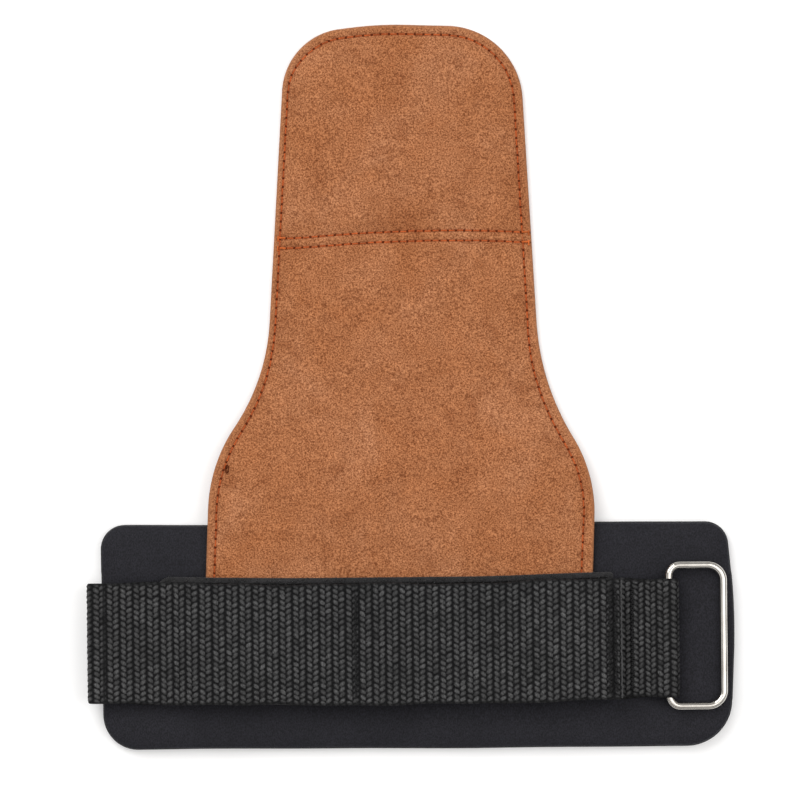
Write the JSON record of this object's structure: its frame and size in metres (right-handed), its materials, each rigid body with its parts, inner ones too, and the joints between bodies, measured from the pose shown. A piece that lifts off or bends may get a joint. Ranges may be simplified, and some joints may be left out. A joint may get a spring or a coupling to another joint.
{
  "type": "lifting hand grip",
  "caption": "Padded suede palm flap sewn to a foam wrist band, with a webbing strap, hook-and-loop tapes and a wire ring for fastening it round the wrist",
  "frame": {"origin": "the middle of the wrist band's flat back face, which lies on the wrist", "axes": "X along the wrist band towards the ring, Y from the band towards the flap's tip, Z out of the seen suede face"},
  "size_m": [0.2034, 0.2275, 0.0143],
  "materials": {
    "band_fabric": "matt black-blue knitted nylon, bonded to the foam",
    "band_foam": "closed-cell rubber foam",
    "suede": "napped rust-brown suede",
    "pad_foam": "thin soft foam, hidden between the plies",
    "thread": "bonded rust-orange thread",
    "webbing": "black woven polypropylene webbing with paired ribs",
    "loop_tape": "black napped loop tape",
    "hook_tape": "black hook tape",
    "black_thread": "black sewing thread",
    "ring": "bright nickel plate"
  },
  "bodies": {
    "band": {"wrist_lining": "band_fabric", "wrist_foam": "band_foam", "wrist_cover": "band_fabric", "flap_root_back": "suede", "flap_root_face": "suede", "strap_base": "webbing", "loop_tape": "loop_tape", "loop_tape_stitching": "black_thread", "ring_loop_bartack": "black_thread"},
    "palm": {"palm_back": "suede", "palm_foam": "pad_foam", "palm_face": "suede", "palm_stitching": "thread", "palm_seam_stitching": "thread"},
    "tip": {"tip_back": "suede", "tip_foam": "pad_foam", "tip_face": "suede", "tip_stitching": "thread", "tip_seam_stitching": "thread"},
    "tail": {"strap_tail": "webbing", "hook_tape": "hook_tape", "hook_tape_stitching": "black_thread"},
    "ring": {"ring": "ring"}
  },
  "joints": [
    {"name": "palm_fold", "type": "hinge", "parent": "band", "child": "palm", "pos_m": [0, 0.0213, 0.0077], "axis": [1, 0, 0], "range_deg": [0, 95]},
    {"name": "tip_fold", "type": "hinge", "parent": "palm", "child": "tip", "pos_m": [0, 0.1252, 0.0036], "axis": [1, 0, 0], "range_deg": [0, 120]},
    {"name": "tail_opening", "type": "hinge", "parent": "band", "child": "tail", "pos_m": [-0.10418, -0.00219, 0.00775], "axis": [0.0099, -1, 0], "range_deg": [0, 180]},
    {"name": "ring_swivel", "type": "hinge", "parent": "band", "child": "ring", "pos_m": [0.0791, -0.00036, 0.0083], "axis": [0.0099, -1, 0], "range_deg": [0, 145]}
  ]
}
